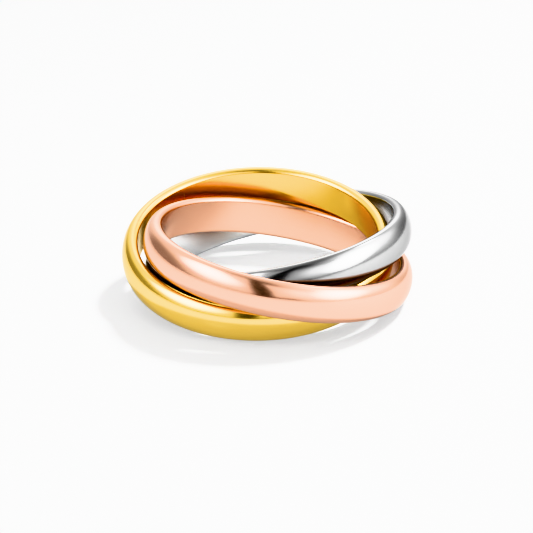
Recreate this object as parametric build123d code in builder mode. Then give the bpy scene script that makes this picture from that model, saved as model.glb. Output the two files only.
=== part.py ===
from build123d import *
from collections import namedtuple
from itertools import combinations
from math import hypot
import numpy as np
import os

# Rolling ring: three equal bands, each linked through the other two, lying on a flat surface.
# Frame: the surface is z = 0, +Z is up, and the origin is under the middle of the ring's box.
# Every band is one closed solid of revolution, made at the place where it lies.

# Sizes of a band
BORE = 19.07  # inner diameter of one band
WIDTH = 3.0  # width of a band along its own axis
WALL = 1.28  # thickness of a band, from its flat inner wall to the top of its dome
EDGE_DEPTH = 0.42  # how far the rounded inner edges reach out from the inner wall
EDGE_WIDTH = 0.28  # how far the rounded inner edges reach in from the band's two sides

# Gap that stays between two bands where they cross most tightly
PLAY = 0.06

# How the bands lie. Each is pushed off the middle of the ring towards a bearing, by a share of its
# wall with the play, and its axis leans towards another bearing, by a share of the flattest slope at
# which the bands still pass each other. Bearings are in degrees from +X.
Lie = namedtuple("Lie", "bearing shift_share lean_bearing lean_share")
LYING_BANDS = {
    "yellow_band": Lie(bearing=176.1, shift_share=0.788, lean_bearing=-90.1, lean_share=1.032),
    "rose_band": Lie(bearing=-64.8, shift_share=0.908, lean_bearing=18.5, lean_share=0.985),
    "white_band": Lie(bearing=62.5, shift_share=0.864, lean_bearing=154.0, lean_share=0.983),
}

# What follows from a band's sizes
INNER_RADIUS = BORE / 2
HALF_WIDTH = WIDTH / 2
WIDEST_RADIUS = INNER_RADIUS + EDGE_DEPTH  # the dome starts here, on the band's two sides
DOME_HEIGHT = WALL - EDGE_DEPTH
EDGE_START = HALF_WIDTH - EDGE_WIDTH  # the flat inner wall ends here, each side of the middle

# How finely the gap between two bands is measured
SECTION_SAMPLES = 64
ROUND_SAMPLES = 180
SLOPE_STEP = 1e-5

UP = Vector(0, 0, 1)


def bearing_way(degrees):
    """Level direction that a bearing names."""
    return Vector(1, 0, 0).rotate(Axis.Z, degrees)


def band_axis(lie, slope):
    """Direction of a lying band's own axis, where a lean share of 1 is worth the slope."""
    return (bearing_way(lie.lean_bearing) * (lie.lean_share * slope) + UP).normalized()


def reach(axis, way):
    """How far a band reaches from its centre in a direction, to the furthest point of its dome."""
    along = abs(axis.dot(way))
    across = axis.cross(way).length
    return WIDEST_RADIUS * across + hypot(DOME_HEIGHT * across, HALF_WIDTH * along)


def lay_band(lie, slope):
    """Centre and axis of a band that touches the surface."""
    axis = band_axis(lie, slope)
    shift = bearing_way(lie.bearing) * (lie.shift_share * (WALL + PLAY))
    return shift + UP * reach(axis, UP), axis


def section_outline():
    """Points of a band's section, as distance out and place along, and the way each of them faces."""
    turn = np.linspace(0, 2 * np.pi, SECTION_SAMPLES, endpoint=False)
    on_dome = np.cos(turn) >= 0
    depth = np.where(on_dome, DOME_HEIGHT, EDGE_DEPTH)
    width = np.where(on_dome, HALF_WIDTH, EDGE_WIDTH)
    middle = np.where(on_dome, 0, EDGE_START * np.sign(np.sin(turn)))
    points = np.stack([WIDEST_RADIUS + depth * np.cos(turn), middle + width * np.sin(turn)], axis=1)
    facing = np.stack([np.cos(turn) / depth, np.sin(turn) / width], axis=1)
    return points, facing / np.linalg.norm(facing, axis=1, keepdims=True)


def surface_points(centre, axis):
    """Points all over a band's surface."""
    across = Plane(origin=centre, z_dir=axis)
    points, _ = section_outline()
    turn = np.linspace(0, 2 * np.pi, ROUND_SAMPLES, endpoint=False)[:, None, None]
    out = np.cos(turn) * np.array([*across.x_dir]) + np.sin(turn) * np.array([*across.y_dir])
    spots = points[:, :1] * out + points[:, 1:] * np.array([*axis])
    return spots.reshape(-1, 3) + np.array([*centre])


def gap_between(band, other):
    """Smallest distance from one band's surface to another band, below 0 where they overlap."""
    centre, axis = (np.array([*vector]) for vector in other)
    away = surface_points(*band) - centre
    along = away @ axis
    out = np.sqrt((away**2).sum(axis=1) - along**2)
    points, facing = section_outline()
    beyond = [(out - x) * way_x + (along - y) * way_y for (x, y), (way_x, way_y) in zip(points, facing)]
    return np.max(beyond, axis=0).min()


def tightest_gap(slope):
    """Smallest gap between any two of the lying bands."""
    bands = [lay_band(lie, slope) for lie in LYING_BANDS.values()]
    return min(gap_between(band, other) for band, other in combinations(bands, 2))


def flattest_slope():
    """The slope that leaves the play at the tightest crossing, closed in on by halving."""
    flat, steep = 0, 1
    while steep - flat > SLOPE_STEP:
        slope = (flat + steep) / 2
        if tightest_gap(slope) < PLAY:
            flat = slope
        else:
            steep = slope
    return steep


def box_middle(bands):
    """Point on the surface under the middle of the box round all the bands."""
    middle = []
    for way in (Vector(1, 0, 0), Vector(0, 1, 0)):
        highest = max(centre.dot(way) + reach(axis, way) for centre, axis in bands)
        lowest = min(centre.dot(way) - reach(axis, way) for centre, axis in bands)
        middle.append((highest + lowest) / 2)
    return Vector(*middle)


# Where the bands lie
slope = flattest_slope()
lying = {name: lay_band(lie, slope) for name, lie in LYING_BANDS.items()}
origin = box_middle(lying.values())

# The bands: a D-shaped section with a flat inner wall, turned once round the band's own axis
os.makedirs("parts", exist_ok=True)
for name, (centre, axis) in lying.items():
    centre -= origin
    across = Plane(origin=centre, z_dir=axis)
    with BuildPart() as band:
        with BuildSketch(Plane(origin=centre, x_dir=across.x_dir, z_dir=-across.y_dir)):
            with BuildLine():
                dome = EllipticalCenterArc(
                    (WIDEST_RADIUS, 0), DOME_HEIGHT, HALF_WIDTH, start_angle=-90, arc_size=180
                )
                upper_edge = EllipticalCenterArc(
                    (WIDEST_RADIUS, EDGE_START), EDGE_DEPTH, EDGE_WIDTH, start_angle=90, arc_size=90
                )
                lower_edge = EllipticalCenterArc(
                    (WIDEST_RADIUS, -EDGE_START), EDGE_DEPTH, EDGE_WIDTH, start_angle=180, arc_size=90
                )
                inner_wall = Line(upper_edge @ 1, lower_edge @ 0)
            make_face()
        revolve(axis=Axis(centre, axis))
    band.part.label = name
    export_step(band.part, f"parts/{name}.step")
    print(name, "centre", centre, "axis", axis, "volume", round(band.part.volume, 3))
print("slope", round(slope, 4), "tightest gap", round(tightest_gap(slope), 4))
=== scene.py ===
# %% [markdown]
# # A rolling ring in three golds
# The ring is three polished bands of one size, in yellow, rose and white gold. Each band passes
# through the other two, so the set can roll over itself on a finger and can't come apart. Here it
# lies on a white table and rests on one point of each band.

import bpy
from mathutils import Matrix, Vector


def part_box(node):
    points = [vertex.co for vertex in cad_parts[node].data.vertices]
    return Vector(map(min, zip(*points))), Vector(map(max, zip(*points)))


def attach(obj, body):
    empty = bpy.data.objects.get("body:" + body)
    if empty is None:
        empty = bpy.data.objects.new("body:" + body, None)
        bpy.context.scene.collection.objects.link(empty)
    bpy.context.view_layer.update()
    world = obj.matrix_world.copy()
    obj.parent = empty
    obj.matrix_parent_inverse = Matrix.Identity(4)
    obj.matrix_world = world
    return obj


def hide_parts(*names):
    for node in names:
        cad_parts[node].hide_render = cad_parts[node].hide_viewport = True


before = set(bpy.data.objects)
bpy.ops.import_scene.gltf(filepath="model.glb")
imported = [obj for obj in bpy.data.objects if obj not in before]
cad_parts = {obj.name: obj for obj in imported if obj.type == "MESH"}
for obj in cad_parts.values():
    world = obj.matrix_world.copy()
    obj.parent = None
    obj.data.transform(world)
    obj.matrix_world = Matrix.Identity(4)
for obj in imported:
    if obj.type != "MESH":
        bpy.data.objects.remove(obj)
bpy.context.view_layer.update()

# %% [markdown]
# Blender works in metres, and a ring is small, so every size is written in millimetres and
# multiplied by one value. That keeps the numbers in the units that a jeweller would use.

# %% Units and helpers
from collections import namedtuple
from math import pi, radians
from types import SimpleNamespace

import bpy
import numpy as np
from mathutils import Matrix, Vector

MM = 0.001


def deselect_all():
    """Leave nothing selected, so that an operator acts on the next piece alone."""
    for thing in bpy.context.selected_objects:
        thing.select_set(False)


def select_points(piece, wanted):
    """In edit mode, select the vertices that a test of their place picks out, and nothing else."""
    bpy.ops.mesh.select_all(action="DESELECT")
    bpy.ops.object.mode_set(mode="OBJECT")
    for vertex in piece.data.vertices:
        vertex.select = wanted(vertex.co)
    bpy.ops.object.mode_set(mode="EDIT")


# %% [markdown]
# Each band is measured on its CAD node. A ring is the same on both sides of its middle, so the
# middle of its box is its centre. Its axis is the direction in which its surface is thinnest: of the
# three main directions of the surface, found from the places and areas of its faces, it is the one
# with the least spread. The radii and the width then come from the vertices.


# %% Measure the bands
def measure_band(node):
    """Centre, axis and sizes of a band where it lies."""
    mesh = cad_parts[node].data
    faces = len(mesh.polygons)
    places, areas, points = np.empty(3 * faces), np.empty(faces), np.empty(3 * len(mesh.vertices))
    mesh.polygons.foreach_get("center", places)
    mesh.polygons.foreach_get("area", areas)
    mesh.vertices.foreach_get("co", points)
    places, points = places.reshape(-1, 3), points.reshape(-1, 3)
    low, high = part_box(node)
    centre = (low + high) / 2
    spread = (places - centre).T @ ((places - centre) * areas[:, None])
    axis = np.linalg.eigh(spread)[1][:, 0]
    axis *= np.sign(axis[2])
    along = (points - centre) @ axis
    out = np.linalg.norm(points - centre - along[:, None] * axis, axis=1)
    return SimpleNamespace(
        centre=centre, axis=Vector(axis), inner=out.min(), outer=out.max(), half_width=along.max()
    )


BANDS = {"yellow_band": "yellow", "rose_band": "rose", "white_band": "white"}
lying = {node: measure_band(node) for node in BANDS}
for node, band in lying.items():
    print(node, "centre", [round(x / MM, 3) for x in band.centre], "axis", [round(x, 4) for x in band.axis])
    radii = [round(x / MM, 3) for x in (band.inner, band.outer)]
    print("  radii", radii, "width", round(2 * band.half_width / MM, 3))

# %% [markdown]
# The CAD node of a band is a fine solid for fitting and weighing, but its surface is loose triangles,
# and a mirror shows every one of them. So each band is modelled anew, as a caster's wax is turned: the
# section is drawn once and spun round the axis. The section is a D with its flat side inwards and
# small rounded edges where the flat meets the sides, which is what makes the band slide over a finger.
# It starts as a circle. Its outer half is pressed flatter to make the dome, and its two inner quarters
# are shrunk into the corners to make the edges. A circle with four times some number plus two points
# has a point at each side and none at the flat's middle, so the flat is the one edge left between.

# %% Spin the bands
SECTION_POINTS = 4 * 24 + 2
FLAT_CUTS = 15
ROUND_STEPS = 360
EDGE_DEPTH = 0.42 * MM  # how far the rounded inner edges reach out from the inner wall
EDGE_WIDTH = 0.28 * MM  # how far the rounded inner edges reach in from the band's two sides
MERGE_DISTANCE = 0.0005 * MM


def draw_section(band, name):
    """The D-shaped outline of a band, standing on +X of an axis that is Z."""
    widest = band.inner + EDGE_DEPTH
    half = band.half_width
    deselect_all()
    bpy.ops.mesh.primitive_circle_add(
        vertices=SECTION_POINTS, radius=half, location=(widest, 0, 0), rotation=(pi / 2, 0, 0)
    )
    section = bpy.context.object
    section.name = section.data.name = name
    bpy.ops.object.transform_apply(location=True, rotation=True, scale=True)
    bpy.ops.object.mode_set(mode="EDIT")
    near = half / SECTION_POINTS
    select_points(section, lambda p: p.x > widest + near)
    dome_height = band.outer - widest
    bpy.ops.transform.resize(value=(dome_height / half, 1, 1), center_override=(widest, 0, 0))
    for side in (1, -1):
        select_points(section, lambda p: p.x < widest - near and p.z * side > 0)
        bpy.ops.transform.resize(
            value=(EDGE_DEPTH / half, 1, EDGE_WIDTH / half), center_override=(widest, 0, half * side)
        )
    ends = half - EDGE_WIDTH + near
    select_points(section, lambda p: p.x < widest - EDGE_DEPTH * 0.99 and abs(p.z) < ends)
    bpy.ops.mesh.subdivide(number_cuts=FLAT_CUTS)
    return section


def spin_band(node):
    """A band spun from its section and laid where its CAD node lies."""
    band = lying[node]
    piece = draw_section(band, node.replace("_band", "_polished_band"))
    bpy.ops.mesh.select_all(action="SELECT")
    bpy.ops.mesh.spin(steps=ROUND_STEPS, angle=2 * pi, center=(0, 0, 0), axis=(0, 0, 1))
    bpy.ops.mesh.select_all(action="SELECT")
    bpy.ops.mesh.remove_doubles(threshold=MERGE_DISTANCE)
    bpy.ops.mesh.normals_make_consistent(inside=False)
    bpy.ops.object.mode_set(mode="OBJECT")
    bpy.ops.object.shade_smooth()
    tilt = band.axis.to_track_quat("Z", "Y").to_matrix().to_4x4()
    piece.matrix_world = Matrix.Translation(band.centre) @ tilt
    bpy.ops.object.transform_apply(location=True, rotation=True, scale=True)
    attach(piece, BANDS[node])
    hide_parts(node)
    return piece


polished = {node: spin_band(node) for node in BANDS}
for node, piece in polished.items():
    print(piece.name, len(piece.data.vertices), "points", len(piece.data.polygons), "faces")

# %% [markdown]
# The shader of a gold, and later the light round the ring, are made of small node groups with named
# sockets. Two helpers keep that short: one opens a group, the other places a Math node.


# %% Helpers for node groups
def open_group(name, inputs, outputs):
    """A new shader node group with named sockets, and its input and output nodes."""
    group = bpy.data.node_groups.new(name, "ShaderNodeTree")
    for way, sockets in (("INPUT", inputs), ("OUTPUT", outputs)):
        for socket, kind in sockets.items():
            group.interface.new_socket(socket, in_out=way, socket_type=f"NodeSocket{kind}")
    return group, group.nodes.new("NodeGroupInput"), group.nodes.new("NodeGroupOutput")


def calculate(tree, operation, *values):
    """The result of a Math node that is fed with numbers and sockets."""
    node = tree.nodes.new("ShaderNodeMath")
    node.operation = operation
    for socket, value in zip(node.inputs, values):
        if isinstance(value, bpy.types.NodeSocket):
            tree.links.new(value, socket)
        else:
            socket.default_value = value
    return node.outputs[0]


def soft_step(tree, value, start, end):
    """A value that goes smoothly from 0 at one threshold to 1 at another."""
    node = tree.nodes.new("ShaderNodeMapRange")
    node.interpolation_type = "SMOOTHSTEP"
    for name, given in (("Value", value), ("From Min", start), ("From Max", end)):
        if isinstance(given, bpy.types.NodeSocket):
            tree.links.new(given, node.inputs[name])
        else:
            node.inputs[name].default_value = given
    return node.outputs["Result"]


def add_group(tree, group, vector, **settings):
    """A group node in a tree, with its vector linked and its other sockets set."""
    node = tree.nodes.new("ShaderNodeGroup")
    node.node_tree = group
    tree.links.new(vector, node.inputs[0])
    for name, value in settings.items():
        node.inputs[name.replace("_", " ").title()].default_value = value
    return node.outputs


# %% [markdown]
# A turned band is buffed while it spins, so the marks that it keeps run round it. This group makes
# such lines with noise in four dimensions: the radius and the height change quickly across a line,
# while the two numbers that say where on the circle a place lies change slowly along it. Every
# place that these groups are given is in millimetres from the band's own centre and axis.


# %% Buffing lines
def radius_of(tree, place):
    """Distance of a place from the band's axis, and its other measures."""
    parts = tree.nodes.new("ShaderNodeSeparateXYZ")
    tree.links.new(place, parts.inputs[0])
    x, y, z = parts.outputs
    squares = calculate(tree, "MULTIPLY_ADD", x, x, calculate(tree, "MULTIPLY", y, y))
    return calculate(tree, "SQRT", squares), x, y, z


def build_buffing_lines():
    """Fine lines round a band, as a value from 0 to 1."""
    group, given, result = open_group(
        "buffing_lines", {"Place": "Vector", "Spacing": "Float", "Turns": "Float"}, {"Lines": "Float"}
    )
    radius, x, y, z = radius_of(group, given.outputs["Place"])
    spacing, turns = given.outputs["Spacing"], given.outputs["Turns"]
    coordinates = group.nodes.new("ShaderNodeCombineXYZ")
    slow = calculate(group, "DIVIDE", turns, radius)
    for socket, value in zip(coordinates.inputs, (radius, z)):
        group.links.new(calculate(group, "DIVIDE", value, spacing), socket)
    group.links.new(calculate(group, "MULTIPLY", x, slow), coordinates.inputs[2])
    noise = group.nodes.new("ShaderNodeTexNoise")
    noise.noise_dimensions = "4D"
    noise.inputs["Scale"].default_value = 1
    noise.inputs["Detail"].default_value = 3
    group.links.new(coordinates.outputs[0], noise.inputs["Vector"])
    group.links.new(calculate(group, "MULTIPLY", y, slow), noise.inputs["W"])
    group.links.new(soft_step(group, noise.outputs[0], 0.3, 0.7), result.inputs["Lines"])
    return group


buffing_lines = build_buffing_lines()
print("buffing lines:", len(buffing_lines.nodes), "nodes")

# %% [markdown]
# A worn ring also has small hairlines, which lie across at a slant. They are a noise that is squeezed
# in two directions and long in the third, with only its highest places kept. Two such noises that
# lean to different sides cross each other, as real scratches do.

# %% Hairlines of wear
SCRATCH_LEANS = (0.5, -0.8)
SCRATCH_SLANT = 0.35
SCRATCH_SQUEEZE = (14, 14, 0.5)


def build_hairlines():
    """Sparse scratches of wear, as a value from 0 to 1."""
    group, given, result = open_group(
        "hairlines", {"Place": "Vector", "Rarity": "Float"}, {"Scratches": "Float"}
    )
    kept = 0
    for lean in SCRATCH_LEANS:
        squeeze = group.nodes.new("ShaderNodeMapping")
        squeeze.inputs["Rotation"].default_value = (lean, SCRATCH_SLANT, lean)
        squeeze.inputs["Scale"].default_value = SCRATCH_SQUEEZE
        group.links.new(given.outputs["Place"], squeeze.inputs["Vector"])
        noise = group.nodes.new("ShaderNodeTexNoise")
        noise.inputs["Scale"].default_value = 1
        noise.inputs["Detail"].default_value = 1
        group.links.new(squeeze.outputs[0], noise.inputs["Vector"])
        highest = soft_step(group, noise.outputs[0], given.outputs["Rarity"], 0.8)
        kept = calculate(group, "ADD", kept, highest)
    group.links.new(kept, result.inputs["Scratches"])
    return group


hairlines = build_hairlines()
print("hairlines:", len(hairlines.nodes), "nodes")

# %% [markdown]
# The inside of a worn band is satin rather than a full mirror, because a finger rubs it and no
# polishing wheel reaches it well. A mask of the inner wall tells the material where that is: it
# fades from one radius to the next, so that no hard line shows where the wall turns into the edge.
# The same mask also lays on the painted wall colour: painted shade on the golds, painted light on
# white gold.


# %% Inner wall
def build_inner_wall():
    """Mask of a band's flat inner wall."""
    group, given, result = open_group(
        "inner_wall", {"Place": "Vector", "Start": "Float", "End": "Float"}, {"Mask": "Float"}
    )
    radius, *_ = radius_of(group, given.outputs["Place"])
    outside = soft_step(group, radius, given.outputs["Start"], given.outputs["End"])
    group.links.new(calculate(group, "SUBTRACT", 1, outside), result.inputs["Mask"])
    return group


inner_wall = build_inner_wall()
print("inner wall:", len(inner_wall.nodes), "nodes")

# %% [markdown]
# Gold is a metal, so it has no colour of its own beside its reflection: the base colour says how much
# of the light in each of red, green and blue comes back. Copper in the alloy turns yellow gold to
# rose, and palladium or nickel turns it white, which also makes it the darkest mirror of the three.
# An alloy is never fully even, so two close tones are mixed by a slow noise, in clouds of a few
# millimetres. The inner wall gets a colour of its own, which is painted light and shade rather than
# alloy: on the two golds it is a deeper, darker gold, painted shade for the dimmer reflections of
# reflections inside the band, and on white gold it is a much lighter grey, painted light that brightens
# what that wall mirrors. Any metal reflects more where it is seen almost along its surface. The edge
# value holds that back, most on white gold, so that its rim stands out from the white table.

# %% The three alloys
# The wall colour is painted: painted shade (deeper gold) inside the golds, painted light (lighter grey)
# inside white gold.
Alloy = namedtuple("Alloy", "light deep wall cloud_size edge")
ALLOYS = {
    "yellow_band": Alloy((0.95, 0.705, 0.25), (0.94, 0.685, 0.23), (0.88, 0.61, 0.175), 2.5, 0.75),
    "rose_band": Alloy((0.95, 0.605, 0.455), (0.94, 0.59, 0.435), (0.86, 0.545, 0.4), 3.0, 0.75),
    "white_band": Alloy((0.31, 0.31, 0.31), (0.3, 0.3, 0.3), (0.59, 0.6, 0.605), 2.0, 0.6),
}
for node, alloy in ALLOYS.items():
    print(node, "sends back red, green, blue:", alloy.light)

# %% [markdown]
# Each pattern is measured from its band's own centre and axis: the Mapping node takes the place
# back to where the band was spun, and makes its unit a millimetre. Clouds are a plain noise of a
# given size. A Mix node has one set of sockets for each kind of value, and its colours are the
# sockets 6 and 7 on the way in and 2 on the way out.


# %% Places, clouds and colours
def blend(tree, factor, first, second):
    """The colour between two others; each is three numbers or a socket."""
    node = tree.nodes.new("ShaderNodeMix")
    node.data_type = "RGBA"
    tree.links.new(factor, node.inputs["Factor"])
    for socket, colour in zip((node.inputs[6], node.inputs[7]), (first, second)):
        if isinstance(colour, bpy.types.NodeSocket):
            tree.links.new(colour, socket)
        else:
            socket.default_value = (*colour, 1)
    return node.outputs[2]


def place_on_band(tree, band):
    """Object coordinates in millimetres, measured from a band's centre and axis."""
    place = tree.nodes.new("ShaderNodeMapping")
    place.vector_type = "TEXTURE"
    place.inputs["Location"].default_value = band.centre
    place.inputs["Rotation"].default_value = band.axis.to_track_quat("Z", "Y").to_euler()
    place.inputs["Scale"].default_value = (MM, MM, MM)
    tree.links.new(tree.nodes.new("ShaderNodeTexCoord").outputs["Object"], place.inputs["Vector"])
    return place.outputs[0]


def slow_noise(tree, place, size):
    """Soft clouds of a size in millimetres, as a value from 0 to 1."""
    noise = tree.nodes.new("ShaderNodeTexNoise")
    noise.inputs["Scale"].default_value = 1 / size
    noise.inputs["Detail"].default_value = 1
    tree.links.new(place, noise.inputs["Vector"])
    return noise.outputs[0]


# %% [markdown]
# A polished gold is a metal with low roughness, though not with none: even a ring that is fresh from
# the wheel blurs the edges of what it mirrors a little. The satin wall, the buffing lines and the
# scratches each add some more. The bump is far lower than a hair is thick: slow waves that no hand
# polish is free of, with the lines raised and the scratches cut into them.

# %% Mix the golds
POLISH_ROUGHNESS = 0.14
SATIN_ROUGHNESS = 0.06
LINE_ROUGHNESS = 0.03
SCRATCH_ROUGHNESS = 0.05
WALL_FADE = (0.02, 0.2)
LINE_SPACING = 0.12
LINE_TURNS = 2.5
SCRATCH_RARITY = 0.66
WAVE_SIZE = 1.7
MARK_HEIGHT = 0.02
RELIEF = 0.004 * MM


def mix_gold(node):
    """The material of one band."""
    band, alloy = lying[node], ALLOYS[node]
    gold = bpy.data.materials.new(node.replace("_band", "_gold"))
    gold.use_nodes = True
    tree = gold.node_tree
    shader = tree.nodes["Principled BSDF"]
    shader.inputs["Metallic"].default_value = 1
    shader.inputs["Specular Tint"].default_value = (alloy.edge, alloy.edge, alloy.edge, 1)
    place = place_on_band(tree, band)
    start, end = (band.inner / MM + fade for fade in WALL_FADE)
    wall = add_group(tree, inner_wall, place, start=start, end=end)["Mask"]
    lines = add_group(tree, buffing_lines, place, spacing=LINE_SPACING, turns=LINE_TURNS)["Lines"]
    scratches = add_group(tree, hairlines, place, rarity=SCRATCH_RARITY)["Scratches"]
    clouds = slow_noise(tree, place, alloy.cloud_size)

    # On the inner wall the colour turns to the painted wall colour: painted shade on the golds, painted
    # light on white gold.
    colour = blend(tree, wall, blend(tree, clouds, alloy.light, alloy.deep), alloy.wall)
    tree.links.new(colour, shader.inputs["Base Color"])
    satin = calculate(tree, "MULTIPLY_ADD", wall, SATIN_ROUGHNESS, POLISH_ROUGHNESS)
    lined = calculate(tree, "MULTIPLY_ADD", lines, LINE_ROUGHNESS, satin)
    rough = calculate(tree, "MULTIPLY_ADD", scratches, SCRATCH_ROUGHNESS, lined)
    tree.links.new(rough, shader.inputs["Roughness"])

    raised = calculate(tree, "MULTIPLY", lines, MARK_HEIGHT)
    worn = calculate(tree, "MULTIPLY_ADD", scratches, -MARK_HEIGHT, raised)
    bump = tree.nodes.new("ShaderNodeBump")
    bump.inputs["Distance"].default_value = RELIEF
    height = calculate(tree, "ADD", slow_noise(tree, place, WAVE_SIZE), worn)
    tree.links.new(height, bump.inputs["Height"])
    tree.links.new(bump.outputs[0], shader.inputs["Normal"])
    return gold


for node, piece in polished.items():
    piece.data.materials.append(mix_gold(node))
    print(piece.name, "wears", piece.data.materials[0].name)

# %% [markdown]
# The table is a matt white sheet. Its slight glow stands for the light that a white tent throws back
# and forth between table and walls: it keeps the shadow a pale grey, as a photographer's tent does.

# %% The table
TABLE_SIZE = 2
TABLE_WHITE = 0.8
TABLE_ROUGHNESS = 0.8
TABLE_GLOW = 0.41

deselect_all()
bpy.ops.mesh.primitive_plane_add(size=TABLE_SIZE, location=(0, 0, 0))
table = bpy.context.object
table.name = table.data.name = "table_top"
white = bpy.data.materials.new("white_table")
white.use_nodes = True
surface = white.node_tree.nodes["Principled BSDF"].inputs
surface["Base Color"].default_value = (TABLE_WHITE, TABLE_WHITE, TABLE_WHITE, 1)
surface["Roughness"].default_value = TABLE_ROUGHNESS
surface["Emission Color"].default_value = (1, 1, 1, 1)
surface["Emission Strength"].default_value = TABLE_GLOW
table.data.materials.append(white)
print("table", [round(x, 2) for x in table.dimensions])

# %% [markdown]
# A polished ring is a mirror, so what is seen on it is the room. Jewellery is photographed in a tent
# of white cloth: bright where a lamp shines through it, dark at the gap for the lens, at its open
# top and along its lower edge. The tent is the world here, and every lamp or dark place in it is one
# soft oval. A group gives the mask of such an oval. It is told where the middle is, by its bearing
# (0 is towards the camera and more is to the right) and its rise above the table, how wide and
# how high it is, how far it leans, and how much of it is full before it fades.


# %% Soft ovals on the tent
def build_soft_oval():
    """Mask of a soft oval: 1 in its core, 0 outside it."""
    sizes = {name: "Float" for name in ("Bearing", "Rise", "Half Width", "Half Height", "Slant", "Core")}
    group, given, result = open_group("soft_oval", {"Direction": "Vector", **sizes}, {"Mask": "Float"})
    turned = group.nodes.new("ShaderNodeVectorRotate")
    turned.rotation_type = "Z_AXIS"
    group.links.new(given.outputs["Direction"], turned.inputs["Vector"])
    group.links.new(calculate(group, "MULTIPLY", given.outputs["Bearing"], -1), turned.inputs["Angle"])
    parts = group.nodes.new("ShaderNodeSeparateXYZ")
    group.links.new(turned.outputs[0], parts.inputs[0])
    x, y, z = parts.outputs
    around = calculate(group, "ARCTAN2", x, calculate(group, "MULTIPLY", y, -1))
    above = calculate(group, "SUBTRACT", calculate(group, "ARCSINE", z), given.outputs["Rise"])
    slanted = calculate(group, "MULTIPLY_ADD", above, given.outputs["Slant"], around)
    across = calculate(group, "DIVIDE", slanted, given.outputs["Half Width"])
    upward = calculate(group, "DIVIDE", above, given.outputs["Half Height"])
    squares = calculate(group, "MULTIPLY_ADD", across, across, calculate(group, "MULTIPLY", upward, upward))
    outside = soft_step(group, calculate(group, "SQRT", squares), given.outputs["Core"], 1)
    group.links.new(calculate(group, "SUBTRACT", 1, outside), result.inputs["Mask"])
    return group


soft_oval = build_soft_oval()
print("sockets of the oval:", [socket.name for socket in soft_oval.interface.items_tree])

# %% [markdown]
# Two large lamps stand left and right of the camera and give the long highlights. The weaker glows
# light the cloth between and behind them, and the key lamp is what the bands see of the key light.
# The narrow slit in front of the lens draws the dark band across each mirror, which is what makes
# polished metal look like metal. Angles are in degrees. A lamp's level is added to that of the bare
# cloth, and a shade's level is the share that it leaves.

# %% Lamps and shades of the tent
Oval = namedtuple("Oval", "bearing rise half_width half_height slant core level")
ALL_ROUND = 10000
LAMPS = {
    "left_lamp": Oval(-68, 43, 44, 34, 0.6, 0, 15),
    "right_lamp": Oval(71, 30, 36, 30, -0.5, 0, 16),
    "right_glow": Oval(100, 42, 65, 44, 0, 0, 2),
    "front_glow": Oval(35, 30, 32, 32, 0, 0, 1.2),
    "back_lamp": Oval(180, 32, 26, 30, 0, 0, 1.8),
    "back_glow": Oval(180, 24, 46, 34, 0, 0, 0.9),
    "key_lamp": Oval(138.7, 52.7, 14, 10, 0, 0, 5),
}
SHADES = {
    "slit": Oval(-9, 45, 15, 110, 0, 0.4, 0.07),
    "roof": Oval(0, 90, ALL_ROUND, 28, 0, 0.3, 0.5),
    "front_roof": Oval(15, 70, 40, 24, 0, 0.2, 0.35),
    "hem": Oval(-30, 0, 120, 9, 0, 0.2, 0.5),
    "front_hem": Oval(12, 0, 22, 14, 0, 0.2, 0.38),
    "left_hem": Oval(-112, 4, 57, 42, 0.2, 0.3, 0.33),
    "right_hem": Oval(142, 6, 36, 26, 0, 0.1, 0.65),
}
print("brightest lamp:", max(lamp.level for lamp in LAMPS.values()))

# %% [markdown]
# The world's strength starts at the level of the bare cloth. Each lamp is added to it, and each
# shade then multiplies it. A view of the tent that comes over two mirrors, as in the gaps between
# the bands, is never brighter than the gap level, and each mirror more lets the gap fall further: so
# the gaps read as dark and warm. The tent is hidden from matt surfaces, so that the table is lit by
# the lights and its glow alone.

# %% The light tent
TENT_LEVEL = 0.9
GAP_LEVEL = 0.85
GAP_FALL = 0.48


def oval_mask(tree, direction, oval):
    """The mask of one oval of the tent."""
    bearing, rise, half_width, half_height = (radians(angle) for angle in oval[:4])
    return add_group(
        tree, soft_oval, direction, bearing=bearing, rise=rise, half_width=half_width,
        half_height=half_height, slant=oval.slant, core=oval.core,
    )["Mask"]


tent = bpy.data.worlds.new("light_tent")
bpy.context.scene.world = tent
tent.use_nodes = True
tree = tent.node_tree
direction = tree.nodes.new("ShaderNodeTexCoord").outputs["Generated"]
level = TENT_LEVEL
for lamp in LAMPS.values():
    level = calculate(tree, "MULTIPLY_ADD", oval_mask(tree, direction, lamp), lamp.level, level)
for shade in SHADES.values():
    share = calculate(tree, "MULTIPLY_ADD", oval_mask(tree, direction, shade), shade.level - 1, 1)
    level = calculate(tree, "MULTIPLY", level, share)
mirrors_met = tree.nodes.new("ShaderNodeLightPath").outputs["Glossy Depth"]
seen_again = calculate(tree, "GREATER_THAN", mirrors_met, 1.5)
falls = calculate(tree, "POWER", GAP_FALL, calculate(tree, "SUBTRACT", mirrors_met, 2))
most = calculate(tree, "MULTIPLY", falls, GAP_LEVEL)
dimmed = calculate(tree, "SUBTRACT", calculate(tree, "MINIMUM", level, most), level)
level = calculate(tree, "MULTIPLY_ADD", seen_again, dimmed, level)
tree.links.new(level, tree.nodes["Background"].inputs["Strength"])
tree.nodes["Background"].inputs["Color"].default_value = (1, 1, 1, 1)
tent.cycles_visibility.diffuse = False
print("tent with", len(LAMPS), "lamps and", len(SHADES), "shades")

# %% [markdown]
# The shadow falls to the left and towards the camera, so the key light stands at the right and
# behind, a little more than half way up. It is a spot that is wide enough to give the shadow a soft
# edge, and it points right of the ring, so the table fades towards the far left. A weak light
# straight above adds the darker grey close to the ring, where less of the tent would reach the table.

# %% The key light
KEY_BEARING = radians(138.7)
KEY_RISE = radians(52.7)
KEY_DISTANCE = 600 * MM
KEY_WIDTH = radians(9)
KEY_CONE = radians(30)
KEY_POWER = 21
KEY_AIM = Vector((45, -10, 0)) * MM
TOP_HEIGHT = 250 * MM
TOP_SIZE = 300 * MM
TOP_POWER = 0.13

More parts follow.
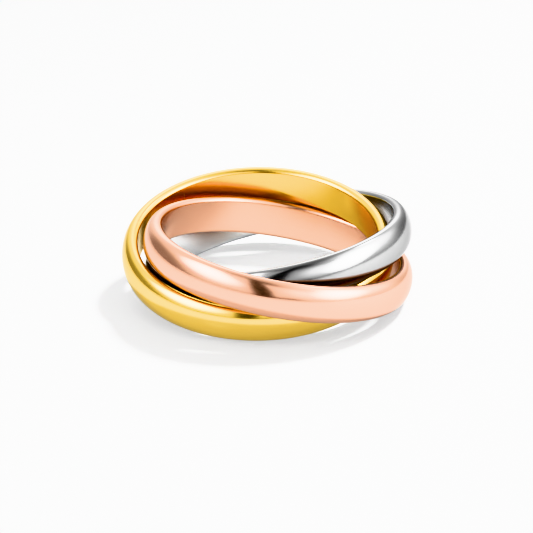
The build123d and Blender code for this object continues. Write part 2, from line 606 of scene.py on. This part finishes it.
deselect_all()
bpy.ops.object.light_add(type="SPOT")
key = bpy.context.object
key.name = key.data.name = "key_light"
towards_key = Matrix.Rotation(KEY_BEARING, 3, "Z") @ Matrix.Rotation(-KEY_RISE, 3, "X") @ Vector((0, -1, 0))
key.location = towards_key * KEY_DISTANCE
key.rotation_euler = (key.location - KEY_AIM).to_track_quat("Z", "Y").to_euler()
key.data.energy = KEY_POWER
key.data.spot_size = KEY_CONE
key.data.spot_blend = 1
key.data.shadow_soft_size = KEY_DISTANCE * KEY_WIDTH / 2
key.visible_glossy = False
bpy.ops.object.light_add(type="AREA", location=(0, 0, TOP_HEIGHT))
top_light = bpy.context.object
top_light.name = top_light.data.name = "top_light"
top_light.data.size = TOP_SIZE
top_light.data.energy = TOP_POWER
top_light.visible_glossy = False
print("key light stands at", [round(x, 3) for x in key.location])

# %% [markdown]
# The camera stands far off with a long lens, as for most pictures of small things: the ring keeps
# its true shape and its near side doesn't swell. The view uses a neutral tone curve, which
# keeps the hues of the golds in bright places, and a strong contrast for crisp metal. A ray is
# followed through twelve mirrors at most, and light that the bands throw on the table is left out,
# because it would need a very long render to be free of specks.

# %% The camera
LOOK_AT = Vector((-0.07, -0.38, 2.43)) * MM
CAMERA_DISTANCE = 297.1 * MM
CAMERA_RISE = radians(22.46)
CAMERA_TURN = radians(-0.255)
CAMERA_ROLL = radians(-0.668)
CAMERA_LENS = 252.52
SENSOR_WIDTH = 36
MOST_MIRRORS = 12

deselect_all()
bpy.ops.object.camera_add()
camera = bpy.context.object
camera.name = camera.data.name = "camera"
swing = Matrix.Rotation(-CAMERA_TURN, 4, "Z") @ Matrix.Rotation(pi / 2 - CAMERA_RISE, 4, "X")
look = swing @ Matrix.Rotation(CAMERA_ROLL, 4, "Z")
camera.matrix_world = Matrix.Translation(LOOK_AT) @ look @ Matrix.Translation((0, 0, CAMERA_DISTANCE))
camera.data.lens = CAMERA_LENS
camera.data.sensor_width = SENSOR_WIDTH
bpy.context.scene.camera = camera
view = bpy.context.scene.view_settings
view.view_transform = "Khronos PBR Neutral"
view.look = "Very High Contrast"
cycles = bpy.context.scene.cycles
cycles.max_bounces = cycles.glossy_bounces = MOST_MIRRORS
cycles.caustics_reflective = False
print("camera at", [round(x, 3) for x in camera.matrix_world.translation])
